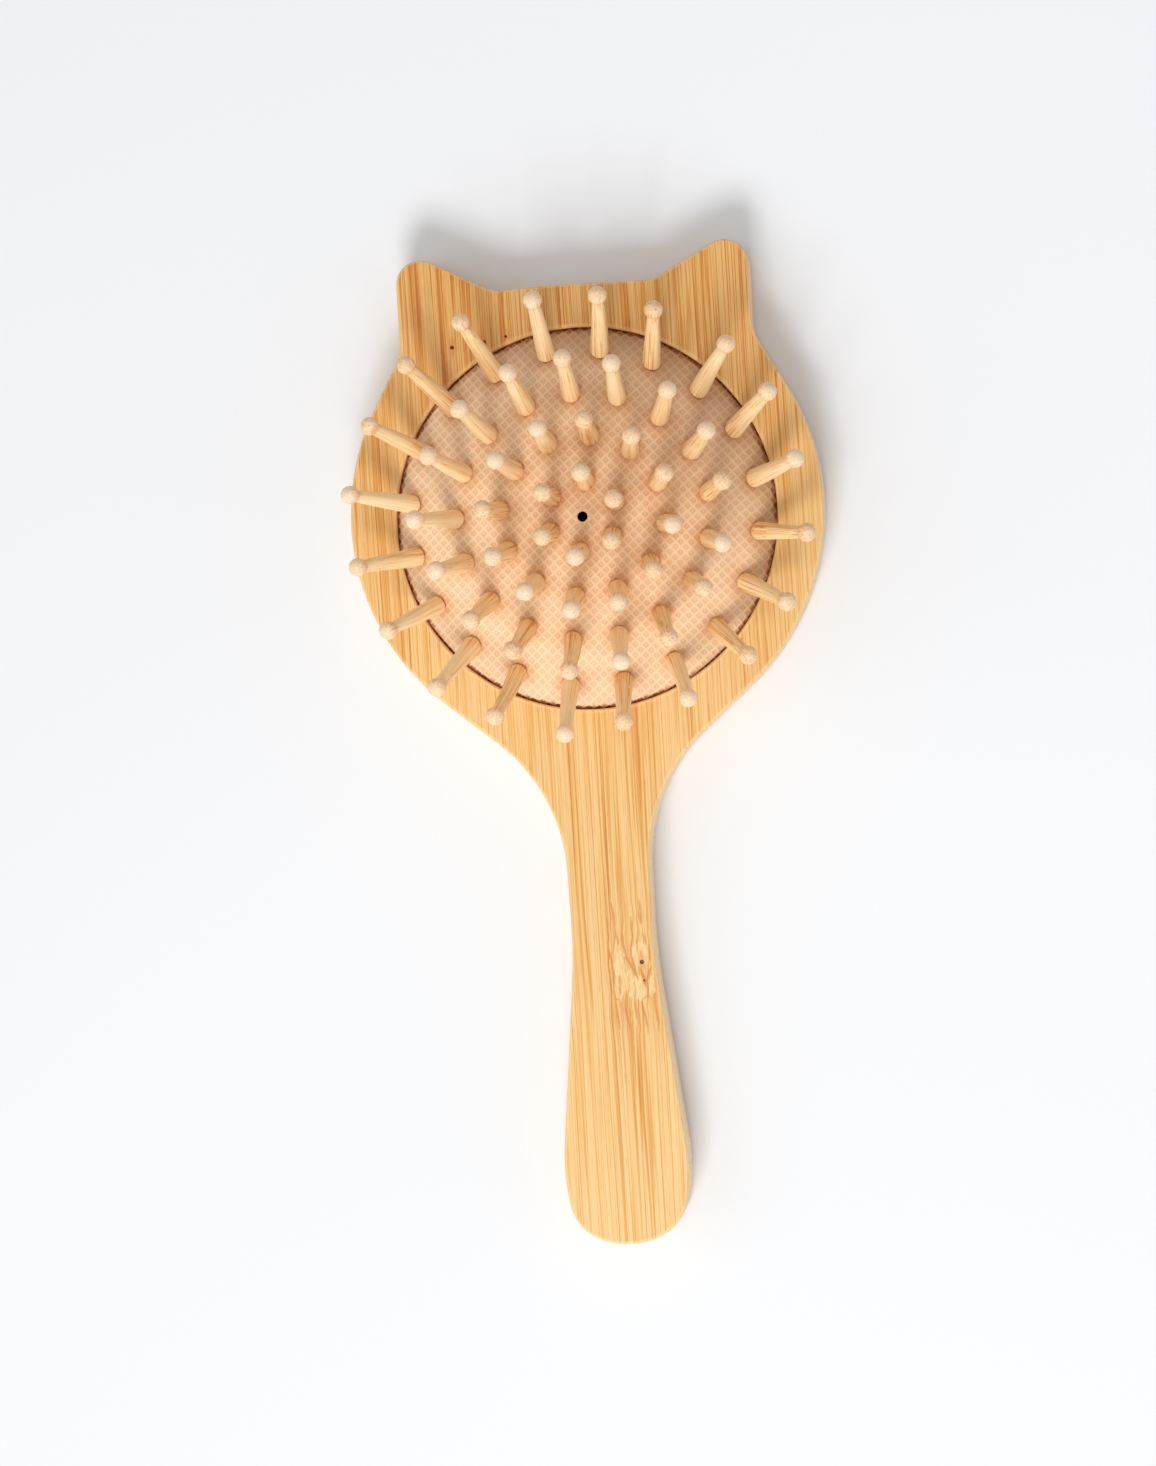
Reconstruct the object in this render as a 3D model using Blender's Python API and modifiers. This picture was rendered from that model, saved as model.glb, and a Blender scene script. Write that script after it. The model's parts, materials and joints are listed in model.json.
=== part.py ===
"""Bamboo paddle brush with two ears, an air cushion and 55 ball-tipped pins.

Metres, +Z up. The brush lies on its flat back with its pins up. The origin is on the back face,
under the middle of the cushion. +Y points to the ears and -Y to the end of the handle.
"""
import math

import bmesh
import bpy
from mathutils import Matrix, Vector

MM = 0.001

# Bamboo body
BODY_THICKNESS = 13.0 * MM
EDGE_ROUND = 0.6 * MM
EDGE_SEGMENTS = 2
OUTLINE_TURN = math.radians(9.0)
# Right half of the outline, from the brow between the ears to the end of the handle.
# Each row is a corner, x and y, and the radius that rounds it, in millimetres.
BODY_CORNERS = (
    (0.0, 47.0, 0.0),       # middle of the brow
    (16.0, 46.6, 6.8),      # foot of the ear
    (35.4, 57.0, 4.9),      # tip of the ear
    (35.3, 35.2, 8.2),      # where the ear meets the head
    (60.6, -9.8, 47.9),     # side of the round head
    (8.6, -54.2, 35.0),     # neck
    (8.0, -86.5, 117.8),    # waist of the handle
    (12.9, -131.3, 39.7),   # widest part of the grip
    (10.9, -141.3, 9.2),    # corner of the butt
    (4.3, -145.4, 12.8),    # underside of the butt
    (0.0, -145.4, 0.0),     # middle of the butt
)

# Round recess in the front face, with a groove that holds the rim of the cushion
RECESS_RADIUS = 38.15 * MM
RECESS_FLOOR = 4.5 * MM
RECESS_CHAMFER = 0.4 * MM
GROOVE_RADIUS = 40.4 * MM
GROOVE_BOTTOM = 8.2 * MM
GROOVE_TOP = 10.4 * MM
CUTTER_OVERSHOOT = 1.0 * MM

# Rubber cushion
GAP = 0.3 * MM
RUBBER_THICKNESS = 1.8 * MM
DOME_RISE = 10.5 * MM
DOME_POWER = 3.0
DOME_RIM_DROP = 1.0 * MM
DOME_RINGS = 7
VENT_RADIUS = 1.05 * MM
TURNED_STEPS = 48
VENT_SIDES = 8

# Pins: (name, how many, radius of the ring, angle of its first pin clockwise from +Y)
PIN_RINGS = (
    ("outer", 20, 33.0 * MM, math.radians(-9.7)),
    ("second", 17, 24.3 * MM, math.radians(-2.3)),
    ("third", 12, 15.8 * MM, math.radians(8.4)),
    ("inner", 6, 6.9 * MM, math.radians(7.1)),
)
RING_STRETCH = 1.04             # the rings are this much wider than they are long
# Pins that were set askew, in degrees: outwards from the middle, and clockwise round the ring.
ASKEW_PINS = {
    "outer_01": (4, 3), "outer_02": (4, -1), "outer_03": (1, -9), "outer_04": (4, -3),
    "outer_05": (2, -7), "outer_06": (-1, -4), "outer_07": (3, 0), "outer_08": (2, 2),
    "outer_10": (-3, 3), "outer_11": (-3, 3), "outer_12": (3, -3), "outer_13": (1, -2),
    "outer_14": (4, -5), "outer_15": (2, -1), "outer_16": (5, 0), "outer_17": (8, 2),
    "outer_18": (7, 3), "outer_19": (10, 3), "outer_20": (9, 1),
    "second_01": (2, 1), "second_02": (0, -5), "second_03": (-2, -2), "second_04": (-3, -2),
    "second_05": (-7, -3), "second_06": (-7, 3), "second_07": (-7, 0), "second_08": (-1, 3),
    "second_10": (2, -4), "second_11": (-3, -3), "second_12": (-5, -5), "second_13": (-5, -1),
    "second_14": (2, -2), "second_15": (1, 3), "second_16": (1, 2), "second_17": (2, 3),
    "third_04": (0, 2), "third_05": (0, 2), "third_06": (2, 0), "third_07": (1, -3),
    "third_08": (-2, -3), "third_09": (-3, -3), "third_10": (-3, -2), "third_12": (-1, 2),
    "inner_01": (2, 2), "inner_02": (1, 2), "inner_03": (4, 2), "inner_04": (3, -2),
    "inner_05": (0, -4),
}
PIN_SIDES = 8
PIN_LENGTH = 17.0 * MM          # from the rubber's outer face to the middle of the ball
BALL_RADIUS = 1.9 * MM
BALL_TURN = math.radians(36.0)
TOP_RADIUS = 1.25 * MM          # shank under the ball
BASE_RADIUS = 1.9 * MM          # shank where it meets the rubber
NECK_RADIUS = 1.2 * MM          # waist that the rubber grips
FOOT_RADIUS = 2.0 * MM          # foot behind the rubber
FOOT_HEIGHT = 1.5 * MM
ROCK_CLEARANCE = 0.75 * MM      # room above, below and round the neck, so that the pin can rock


def clear_scene():
    for old in list(bpy.data.objects):
        bpy.data.objects.remove(old, do_unlink=True)


def new_collection(name):
    collection = bpy.data.collections.new(name)
    bpy.context.scene.collection.children.link(collection)
    return collection


def principled(name, colour, roughness):
    material = bpy.data.materials.new(name)
    material.use_nodes = True
    shader = material.node_tree.nodes["Principled BSDF"]
    shader.inputs["Base Color"].default_value = (*colour, 1.0)
    shader.inputs["Roughness"].default_value = roughness
    shader.inputs["Metallic"].default_value = 0.0
    material.diffuse_color = (*colour, 1.0)
    return material


def add_object(name, mesh, collection, material=None):
    made = bpy.data.objects.new(name, mesh)
    collection.objects.link(made)
    if material and not mesh.materials:
        mesh.materials.append(material)
    return made


def as_cutter(cutter):
    cutter.hide_render = True
    cutter.display_type = "WIRE"
    return cutter


def fillet(before, corner, after, radius):
    """Points of the arc that rounds a corner, from the side of `before` to that of `after`."""
    to_before = (before - corner).normalized()
    to_after = (after - corner).normalized()
    half_angle = to_before.angle(to_after) / 2.0
    reach = radius / math.tan(half_angle)
    centre = corner + (to_before + to_after).normalized() * (radius / math.sin(half_angle))
    spoke = corner + to_before * reach - centre
    turn = spoke.angle_signed(corner + to_after * reach - centre)
    steps = max(1, math.ceil(abs(turn) / OUTLINE_TURN))
    return [centre + Matrix.Rotation(-turn * step / steps, 2) @ spoke for step in range(steps + 1)]


def body_outline():
    """The whole outline of the body, clockwise from the middle of the brow."""
    corners = [Vector((x, y)) * MM for x, y, radius in BODY_CORNERS]
    right = [corners[0]]
    for index in range(1, len(corners) - 1):
        radius = BODY_CORNERS[index][2] * MM
        right += fillet(corners[index - 1], corners[index], corners[index + 1], radius)
    right.append(corners[-1])
    left = [Vector((-point.x, point.y)) for point in reversed(right[1:-1])]
    return right + left


def mesh_of_flat_curve(name, points, thickness):
    """A flat closed outline made into a solid plate that is centred on z = 0."""
    curve = bpy.data.curves.new(name, "CURVE")
    curve.dimensions = "2D"
    curve.fill_mode = "BOTH"
    curve.extrude = thickness / 2.0
    spline = curve.splines.new("POLY")
    spline.points.add(len(points) - 1)
    for place, point in zip(spline.points, points):
        place.co = (point.x, point.y, 0.0, 1.0)
    spline.use_cyclic_u = True
    guide = bpy.data.objects.new(name + "_curve", curve)
    bpy.context.scene.collection.objects.link(guide)
    evaluated = guide.evaluated_get(bpy.context.evaluated_depsgraph_get())
    mesh = bpy.data.meshes.new_from_object(evaluated)
    bpy.data.objects.remove(guide, do_unlink=True)
    plate = bmesh.new()
    plate.from_mesh(mesh)
    bmesh.ops.remove_doubles(plate, verts=plate.verts, dist=0.001 * MM)
    bmesh.ops.dissolve_limit(plate, angle_limit=math.radians(0.5), verts=plate.verts,
                             edges=plate.edges)
    bmesh.ops.recalc_face_normals(plate, faces=plate.faces)
    plate.to_mesh(mesh)
    plate.free()
    return mesh


def turned(name, profile, steps, collection, material=None):
    """A solid turned round Z from a profile of (radius, height), which runs top to bottom."""
    mesh = bpy.data.meshes.new(name)
    points = [(radius, 0.0, height) for radius, height in profile]
    mesh.from_pydata(points, [(i, i + 1) for i in range(len(points) - 1)], [])
    made = add_object(name, mesh, collection, material)
    screw = made.modifiers.new("turn", "SCREW")
    screw.axis = "Z"
    screw.steps = steps
    screw.render_steps = steps
    screw.use_merge_vertices = True
    screw.merge_threshold = 0.001 * MM
    screw.use_smooth_shade = True
    return made


def recess_profile():
    lip = RECESS_CHAMFER + CUTTER_OVERSHOOT
    return [
        (0.0, BODY_THICKNESS + CUTTER_OVERSHOOT),
        (RECESS_RADIUS + lip, BODY_THICKNESS + CUTTER_OVERSHOOT),
        (RECESS_RADIUS, BODY_THICKNESS - RECESS_CHAMFER),
        (RECESS_RADIUS, GROOVE_TOP),
        (GROOVE_RADIUS, GROOVE_TOP),
        (GROOVE_RADIUS, GROOVE_BOTTOM),
        (RECESS_RADIUS, GROOVE_BOTTOM),
        (RECESS_RADIUS, RECESS_FLOOR),
        (0.0, RECESS_FLOOR),
    ]


def dome_radius():
    return RECESS_RADIUS - GAP


def dome_height(radius):
    """Height of the rubber's outer face at a distance from its middle."""
    rim = BODY_THICKNESS - DOME_RIM_DROP
    return rim + DOME_RISE * (1.0 - (radius / dome_radius()) ** DOME_POWER)


def dome_slope(radius):
    """Angle between the rubber's outer face and the horizontal."""
    fall = DOME_RISE * DOME_POWER / dome_radius() * (radius / dome_radius()) ** (DOME_POWER - 1.0)
    return math.atan(fall)


def cushion_profile():
    """Outer face of the dome, its lip and rim, and back along the inner face to the axis."""
    lip_inner = dome_radius() - RUBBER_THICKNESS
    radii = [dome_radius() * math.sqrt(ring / DOME_RINGS) for ring in range(DOME_RINGS + 1)]
    outer = [(radius, dome_height(radius)) for radius in radii]
    inner = []
    for radius in radii:
        slope = dome_slope(radius)
        inner_radius = radius - RUBBER_THICKNESS * math.sin(slope)
        if inner_radius < lip_inner:
            inner.append((inner_radius, dome_height(radius) - RUBBER_THICKNESS * math.cos(slope)))
    rim = [
        (dome_radius(), GROOVE_TOP - GAP),
        (GROOVE_RADIUS - GAP, GROOVE_TOP - GAP),
        (GROOVE_RADIUS - GAP, GROOVE_BOTTOM + GAP),
        (lip_inner, GROOVE_BOTTOM + GAP),
        (lip_inner, GROOVE_TOP + GAP),
    ]
    return outer + rim + inner[::-1]


def pin_profile():
    """One pin along Z, with z = 0 halfway through the rubber, from its tip down to its foot."""
    rubber_face = RUBBER_THICKNESS / 2.0
    ball_height = rubber_face + PIN_LENGTH
    throat = math.pi - math.asin(TOP_RADIUS / BALL_RADIUS)
    turns = math.ceil(throat / BALL_TURN)
    ball = []
    for step in range(turns + 1):
        angle = throat * step / turns
        ball.append((BALL_RADIUS * math.sin(angle), ball_height + BALL_RADIUS * math.cos(angle)))
    neck_end = rubber_face + ROCK_CLEARANCE
    return ball + [
        (BASE_RADIUS, neck_end),
        (NECK_RADIUS, neck_end),
        (NECK_RADIUS, -neck_end),
        (FOOT_RADIUS, -neck_end),
        (FOOT_RADIUS, -neck_end - FOOT_HEIGHT),
        (0.0, -neck_end - FOOT_HEIGHT),
    ]


def pin_frame(ring_radius, angle, outward_askew, clockwise_askew):
    """Frame of a pin: its origin is halfway through the rubber, Z runs along the pin, and Y is
    the axis that it rocks about, which is as near parallel to the handle as the pin allows."""
    place = Vector((math.sin(angle) * RING_STRETCH, math.cos(angle), 0.0)) * ring_radius
    outward = place.normalized()
    clockwise = Vector((outward.y, -outward.x, 0.0))
    slope = dome_slope(place.length)
    normal = outward * math.sin(slope) + Vector((0.0, 0.0, math.cos(slope)))
    face = place + Vector((0.0, 0.0, dome_height(place.length)))
    lean = slope + math.radians(outward_askew)
    direction = outward * math.sin(lean) + Vector((0.0, 0.0, math.cos(lean)))
    direction = (direction + clockwise * math.tan(math.radians(clockwise_askew))).normalized()
    axis = Vector((0.0, 1.0, 0.0))
    axis = (axis - direction * axis.dot(direction)).normalized()
    across = axis.cross(direction)
    frame = Matrix((across, axis, direction)).transposed().to_4x4()
    frame.translation = face - normal * (RUBBER_THICKNESS / 2.0)
    return frame


def pin_places():
    """Name and frame of each pin, ring by ring."""
    places = []
    for ring, count, radius, first in PIN_RINGS:
        for index in range(count):
            label = f"{ring}_{index + 1:02d}"
            angle = first + index * math.tau / count
            places.append((label, pin_frame(radius, angle, *ASKEW_PINS.get(label, (0, 0)))))
    return places


def add_cylinder(mesh, radius, depth, sides, frame):
    bmesh.ops.create_cone(mesh, cap_ends=True, segments=sides, radius1=radius, radius2=radius,
                          depth=depth, matrix=frame)


def hole_cutter(places, collection):
    """One mesh with a peg for each pin and one for the vent in the middle."""
    pegs = bmesh.new()
    depth = 3.0 * RUBBER_THICKNESS
    for label, frame in places:
        add_cylinder(pegs, NECK_RADIUS + ROCK_CLEARANCE, depth, PIN_SIDES, frame)
    vent = Matrix.Translation((0.0, 0.0, dome_height(0.0)))
    add_cylinder(pegs, VENT_RADIUS, depth, VENT_SIDES, vent)
    mesh = bpy.data.meshes.new("cushion_holes")
    pegs.to_mesh(mesh)
    pegs.free()
    return as_cutter(add_object("cushion_holes", mesh, collection))


def cut(target, cutter):
    boolean = target.modifiers.new("cut_" + cutter.name, "BOOLEAN")
    boolean.operation = "DIFFERENCE"
    boolean.solver = "EXACT"
    boolean.object = cutter


def make_body(parts, cutters, material):
    mesh = mesh_of_flat_curve("bamboo_body", body_outline(), BODY_THICKNESS)
    body = add_object("bamboo_body", mesh, parts, material)
    body.location.z = BODY_THICKNESS / 2.0
    bevel = body.modifiers.new("rounded_edges", "BEVEL")
    bevel.width = EDGE_ROUND
    bevel.segments = EDGE_SEGMENTS
    bevel.limit_method = "ANGLE"
    bevel.angle_limit = math.radians(60.0)
    recess = as_cutter(turned("recess", recess_profile(), TURNED_STEPS, cutters))
    cut(body, recess)
    return body


def make_cushion(parts, cutters, places, material):
    cushion = turned("rubber_cushion", cushion_profile(), TURNED_STEPS, parts, material)
    cut(cushion, hole_cutter(places, cutters))
    return cushion


def make_pins(parts, cushion, places, material):
    """Each pin is its own object. They all share the mesh of one turned pin."""
    pattern = turned("pin_pattern", pin_profile(), PIN_SIDES, parts, material)
    evaluated = pattern.evaluated_get(bpy.context.evaluated_depsgraph_get())
    mesh = bpy.data.meshes.new_from_object(evaluated)
    bpy.data.objects.remove(pattern, do_unlink=True)
    mesh.shade_smooth()
    mesh.set_sharp_from_angle(angle=math.radians(50.0))
    for label, frame in places:
        pin = add_object("pin_" + label, mesh, parts, material)
        pin.parent = cushion
        pin.matrix_basis = frame


def main():
    clear_scene()
    parts = new_collection("paddle_brush")
    cutters = new_collection("cutters")
    bamboo = principled("bamboo", (0.78, 0.50, 0.20), 0.5)
    pin_bamboo = principled("pin_bamboo", (0.85, 0.62, 0.34), 0.55)
    rubber = principled("rubber", (0.80, 0.50, 0.33), 0.75)
    places = pin_places()
    make_body(parts, cutters, bamboo)
    cushion = make_cushion(parts, cutters, places, rubber)
    make_pins(parts, cushion, places, pin_bamboo)


main()
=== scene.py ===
"""The looks of the paddle brush: bamboo board, woven rubber cushion and 55 turned bamboo pins.

Metres, +Z up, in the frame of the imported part. The brush lies on its back with its pins up,
+Y points to the ears and -Y to the end of the handle.
"""
import json
import math
import random

import bmesh
import bpy
import numpy as np
from mathutils import Matrix, Vector, noise


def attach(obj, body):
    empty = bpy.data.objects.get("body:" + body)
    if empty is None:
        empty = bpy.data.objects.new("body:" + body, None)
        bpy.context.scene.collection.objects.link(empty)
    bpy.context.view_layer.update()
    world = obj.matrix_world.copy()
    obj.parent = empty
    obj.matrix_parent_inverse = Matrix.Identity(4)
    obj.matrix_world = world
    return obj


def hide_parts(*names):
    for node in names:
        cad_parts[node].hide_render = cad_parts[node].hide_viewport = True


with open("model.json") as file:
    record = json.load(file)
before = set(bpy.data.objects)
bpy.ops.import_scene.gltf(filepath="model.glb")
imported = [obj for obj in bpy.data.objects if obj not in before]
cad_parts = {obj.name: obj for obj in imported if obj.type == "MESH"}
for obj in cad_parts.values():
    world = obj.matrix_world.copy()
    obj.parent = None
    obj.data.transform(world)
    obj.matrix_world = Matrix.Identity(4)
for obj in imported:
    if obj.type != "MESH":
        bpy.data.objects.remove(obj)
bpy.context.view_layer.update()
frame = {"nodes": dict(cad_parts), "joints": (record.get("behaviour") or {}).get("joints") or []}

MM = 0.001


def rgb(red, green, blue):
    """A linear colour from display values of 0 to 255."""
    def linear(value):
        share = value / 255.0
        return share / 12.92 if share <= 0.04045 else ((share + 0.055) / 1.055) ** 2.4
    return (linear(red), linear(green), linear(blue), 1.0)


# Board: half of its outline, with the radius that rounds each corner, in millimetres
BOARD_CORNERS = (
    (0.0, 47.0, 0.0),
    (16.0, 46.6, 6.8),
    (35.4, 57.0, 4.9),
    (35.3, 35.2, 8.2),
    (60.6, -9.8, 47.9),
    (8.6, -54.2, 35.0),
    (8.0, -86.5, 117.8),
    (12.9, -131.3, 39.7),
    (10.9, -141.3, 9.2),
    (4.3, -145.4, 12.8),
    (0.0, -145.4, 0.0),
)
THICKNESS = 13.0
OUTLINE_TURN = math.radians(3.0)
OUTLINE_STEP = 1.2
EDGE_ROUND = 0.6
EDGE_SEGMENTS = 5
EDGE_SUPPORT = 0.15
HAND_SANDING = 0.1
EDGE_UNEVEN = 0.22

# Recess in the board
RECESS_RADIUS = 38.15
RECESS_FLOOR = 4.5
RECESS_CHAMFER = 0.3
RECESS_STEPS = 288
RECESS_RAGGED = 0.08
RECESS_CHIPS = 0.75
CHIP_LIMIT = 0.18
GROOVE_RADIUS = 40.4
GROOVE_BOTTOM = 8.2
GROOVE_TOP = 10.4

# Small pits in the board: x, y, radius and depth, in millimetres
PITS = (
    (-24.8, 35.8, 0.42, 0.5),
    (-18.4, 36.4, 0.5, 0.6),
    (-13.9, 37.3, 0.3, 0.4),
    (5.6, -89.1, 0.42, 0.5),
    (5.85, -92.8, 0.24, 0.3),
)
PIT_SIDES = 16
PIT_UNEVEN = 0.18
PIT_BOTTOM = 0.55               # share of the radius that is left at the bottom
PIT_STAIN_LENGTH = 3.2          # how much longer the stain is than it is wide

# Joint of the bamboo in the handle, on a fine grid: y range, left side, middle, margin at the
# right and spacing
JOINT_LOW = -104.6
JOINT_HIGH = -75.4
JOINT_LEFT = -2.4
JOINT_MIDDLE = -89.5
JOINT_MARGIN = 1.0
JOINT_STEP = 0.16
JOINT_DEPTH = 0.05
JOINT_BEND = 1.5                # how far its grain wanders sideways
JOINT_RAGGED = (0.2, 0.13)     # how far its edges wander, coarse and fine
GRAIN_SWAY = 1.2                # how far the grain of the whole board wanders
SIDE_LAYERS = 0.9              # how nearly the grain of the sides follows the outline
# Its dark strokes: half width, strength, and the points that each passes through
JOINT_STROKES = (
    (0.22, 1.0, ((-0.7, -86.1), (-0.4, -88.6), (-0.2, -91.7), (-0.4, -94.0), (-0.1, -96.0))),
    (0.2, 0.7, ((0.4, -81.3), (0.8, -83.2), (1.2, -85.4))),
    (0.34, 0.85, ((2.3, -85.6), (2.5, -88.0), (3.3, -89.2), (4.2, -91.2), (4.5, -92.6))),
    (0.2, 0.9, ((4.0, -84.3), (3.5, -86.2), (3.6, -88.0), (4.2, -90.1))),
    (0.22, 0.9, ((7.1, -85.6), (7.2, -87.9), (6.9, -89.3))),
    (0.26, 0.9, ((7.7, -89.8), (7.0, -91.0), (6.5, -92.8), (6.5, -96.1))),
    (0.36, 0.75, ((0.9, -91.6), (1.0, -93.3), (1.0, -95.2))),
    (0.24, 0.8, ((5.4, -90.6), (5.9, -92.6), (6.1, -94.1))),
    (0.16, 0.7, ((-0.4, -96.1), (0.6, -96.4))),
    (0.2, 0.8, ((1.7, -96.3), (1.9, -98.5), (2.2, -100.7), (2.6, -102.9))),
    (0.26, 0.8, ((8.1, -90.8), (8.1, -94.5), (7.7, -96.3), (8.0, -99.1), (8.2, -103.0))),
    (0.2, 0.75, ((-0.2, -96.2), (0.1, -99.6), (0.5, -102.7))),
    (0.2, 0.75, ((3.8, -96.4), (4.0, -99.8), (4.2, -101.2))),
    (0.24, 0.8, ((5.1, -96.5), (5.4, -98.7), (5.7, -100.5), (6.0, -103.7))),
    (0.26, 0.75, ((0.3, -77.0), (0.5, -80.1), (0.7, -82.0))),
    (0.24, 0.7, ((3.8, -80.0), (3.9, -82.1), (4.0, -84.3))),
    (0.3, 0.75, ((5.7, -76.4), (5.8, -78.8), (6.0, -81.6))),
    (0.2, 0.7, ((6.1, -83.0), (6.4, -84.5), (6.7, -85.7))),
    (0.16, 0.6, ((1.8, -85.4), (2.1, -87.3))),
    (0.16, 0.6, ((5.0, -84.4), (4.8, -85.6), (5.0, -87.5))),
    (0.16, 0.6, ((3.7, -93.0), (3.9, -94.7), (3.8, -96.2))),
    (0.14, 0.5, ((2.7, -91.7), (2.9, -93.9), (2.6, -95.7))),
    (0.16, 0.6, ((6.9, -96.4), (6.3, -95.9), (5.4, -96.6))),
)
# Its pale flakes: x, y, half width and half length
JOINT_FLAKES = (
    (0.9, -91.6, 1.6, 4.9),
    (5.2, -87.6, 1.8, 2.6),
    (4.7, -94.1, 1.3, 2.6),
    (7.3, -94.1, 0.9, 2.3),
    (2.9, -93.4, 0.9, 2.9),
    (1.8, -86.7, 0.8, 1.4),
)

# Cushion
GAP = 0.3
RUBBER = 1.8
HALF_RUBBER = RUBBER / 2.0
DOME_RISE = 10.5
DOME_POWER = 3.0
DOME_RIM = 12.0
DOME_RADIUS = RECESS_RADIUS - GAP
RIM_BEND = 0.5
RIM_RADIUS = 37.5
# Radius, height and slope in degrees of the sheet where it turns out under the board's edge
RIM_TURNS = ((37.52, 12.02, 82.0), (37.6, 11.86, 55.0), (37.8, 11.77, 25.0), (37.98, 11.68, 45.0),
             (38.07, 11.48, 80.0), (38.08, 8.5, 90.0))
DOME_ROWS = 60                  # rows of the section from the middle to the bend
BEND_STEPS = 8
SHEET_MARGIN = 1.2
LIP_INNER = DOME_RADIUS - RUBBER
# Radii of the outer face whose inner face gets a ring of vertices. They are close enough for
# the pins' necks to rock clear of it.
INNER_FACE = (37.2, 36.5, 35.5, 34.5, 33.5, 32.0, 30.5, 29.0, 27.0, 25.0, 23.0, 21.0, 19.0,
              16.5, 14.0, 11.0, 8.0, 5.0, 1.5)
VENT_RADIUS = 1.05
VENT_SIDES = 40
VENT_SMOOTH = 1.3               # the weave starts at this radius
VENT_RISE = 0.07
WEAVE_PITCH = 1.46
WEAVE_TURN = math.radians(39.0)
# Places of the lines in one repeat, and how far each lies below the top of the weave
WEAVE_LINES = ((-0.24, 1.0), (-0.06, 0.0), (0.06, 0.0), (0.24, 1.0), (0.5, 1.0))
WEAVE_DEPTH = 0.1
WEAVE_BOSS = 0.7                # how far the middle of a cell rises again
RIM_WEAVE = 1.6                 # how much deeper the weave is over the rim
DIMPLE_DEPTH = 0.22
DIMPLE_REACH = 1.9
# Reach and strength of the darker rubber round each pin: painted shade at its base, and stretched
# rubber
PIN_STAIN_AND_SHADE_REACH = 3.2
PIN_STAIN_AND_SHADE_STRENGTH = 0.85
HOLE_RADIUS = 1.45
HOLE_SIDES = 24

# Pins: heights are above the middle of the rubber
BALL_HEIGHT = 17.9
BALL_RADIUS = 1.9
PIN_NECK = 1.2
PIN_BASE = 1.92
BASE_GAP = 0.24
BASE_ROUND = 0.45
BASE_BLEND = 4.0
PIN_WAIST = 1.15
FOOT_TOP = -1.65
FOOT_BOTTOM = -3.15
FOOT_RADIUS = 1.98
PIN_SIDES = 28
PIN_ROUGH = 0.045
BALL_STEPS = 14
SHANK_STEPS = 12
SHANK_CURVE = 0.8
BASE_STEPS = 4
# Rows of a pin's section where its shank starts and where its base rounds in
SHANK_TOP = BALL_STEPS
SHANK_END = BALL_STEPS + 2 + SHANK_STEPS
BALL_TONE_START = 15.2          # the colour of the shank turns into that of the ball here
BALL_TONE_WAY = 1.6

# Colours. A row of tones is a position on a ramp and its display values.
BOARD_TONES = ((0.0, (247, 208, 148)), (0.28, (242, 199, 132)), (0.55, (231, 173, 94)),
               (0.8, (220, 150, 68)), (1.0, (202, 128, 50)))
PIN_TONES = ((0.0, (255, 232, 192)), (0.35, (253, 219, 165)), (0.65, (237, 183, 114)),
             (1.0, (196, 124, 56)))
DARK_FIBRE = rgb(184, 112, 52)
PALE_FLECK = rgb(254, 228, 176)
PALE_FLAKE = rgb(251, 217, 162)
BROWN_FLAKE = rgb(236, 182, 112)
JOINT_STREAK = rgb(200, 124, 52)
JOINT_STROKE = rgb(210, 130, 50)
PIT_STAIN = rgb(206, 122, 46)
# Painted shade in the hollow of each pit
PIT_HOLLOW_SHADE = rgb(120, 62, 24)
# Painted light on the side walls, then sanded wear with a painted highlight on the edges
SIDE_PAINTED_LIGHT = rgb(255, 240, 214)
EDGE_WEAR_AND_HIGHLIGHT = rgb(253, 224, 172)
BUNDLE_END = rgb(140, 92, 54)
# The weave's floors are darker than its ridges: painted shade in its hollows
WEAVE_FLOOR_SHADED = (rgb(231, 186, 142), rgb(242, 198, 153))
WEAVE_RIDGE = (rgb(247, 211, 171), rgb(254, 219, 182))
RUBBER_GRIT = rgb(196, 146, 110)
# Painted shade in the gap round the rim
RUBBER_GAP_SHADE = rgb(158, 88, 52)

# Scales of red, green and blue that turn one colour into another
# Except for the ball's, these scales paint shade: on the head, on the side of the cushion away
# from the lights, along the cushion's edge, and round the pins, where it also stands for stretched
# rubber.
HEAD_PAINTED_SHADE = (0.93, 0.83, 0.68)
BALL_PALE = (0.97, 0.93, 1.03)
RUBBER_PAINTED_SHADE = (0.88, 0.84, 0.8)
RUBBER_EDGE_SHADE = (0.8, 0.7, 0.6)
RUBBER_PIN_STAIN_AND_SHADE = (0.82, 0.66, 0.5)

# Studio: each light has a name, a place, a size and a power.
WORLD_COLOUR = (0.97, 0.985, 1.0, 1.0)
WORLD_STRENGTH = 0.51
LIGHTS = (
    ("key", (-0.12, -0.65, 0.84), 0.4, 6.5),
    ("left", (-0.8, -0.1, 0.8), 0.8, 1.35),
    ("right", (0.75, -0.3, 0.4), 0.7, 0.35),
)
LIGHTS_AIM = (0.0, -0.03, 0.0)
FLOOR_HALF = 4.0
FLOOR_DROP = 0.0002
SENSOR = 36.0
PHOTO_HEIGHT = 1466.0
FOCAL_LENGTH = 4500.0           # in the units of PHOTO_HEIGHT
CAMERA_PLACE = (0.0738, -0.0361, 0.9087)
CAMERA_TURN = (-0.73, 4.95, -3.56)


# ---- shader helpers

class Value:
    """What a node gives. The signs + - * and / between values make Math nodes."""

    def __init__(self, shader, socket):
        self.shader = shader
        self.socket = socket

    def other(self, output):
        """Another output of the same node."""
        return Value(self.shader, self.socket.node.outputs[output])

    def __add__(self, right):
        return self.shader.math("ADD", self, right)

    def __sub__(self, right):
        return self.shader.math("SUBTRACT", self, right)

    def __rsub__(self, left):
        return self.shader.math("SUBTRACT", left, self)

    def __mul__(self, right):
        return self.shader.math("MULTIPLY", self, right)

    def __truediv__(self, right):
        return self.shader.math("DIVIDE", self, right)


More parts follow.
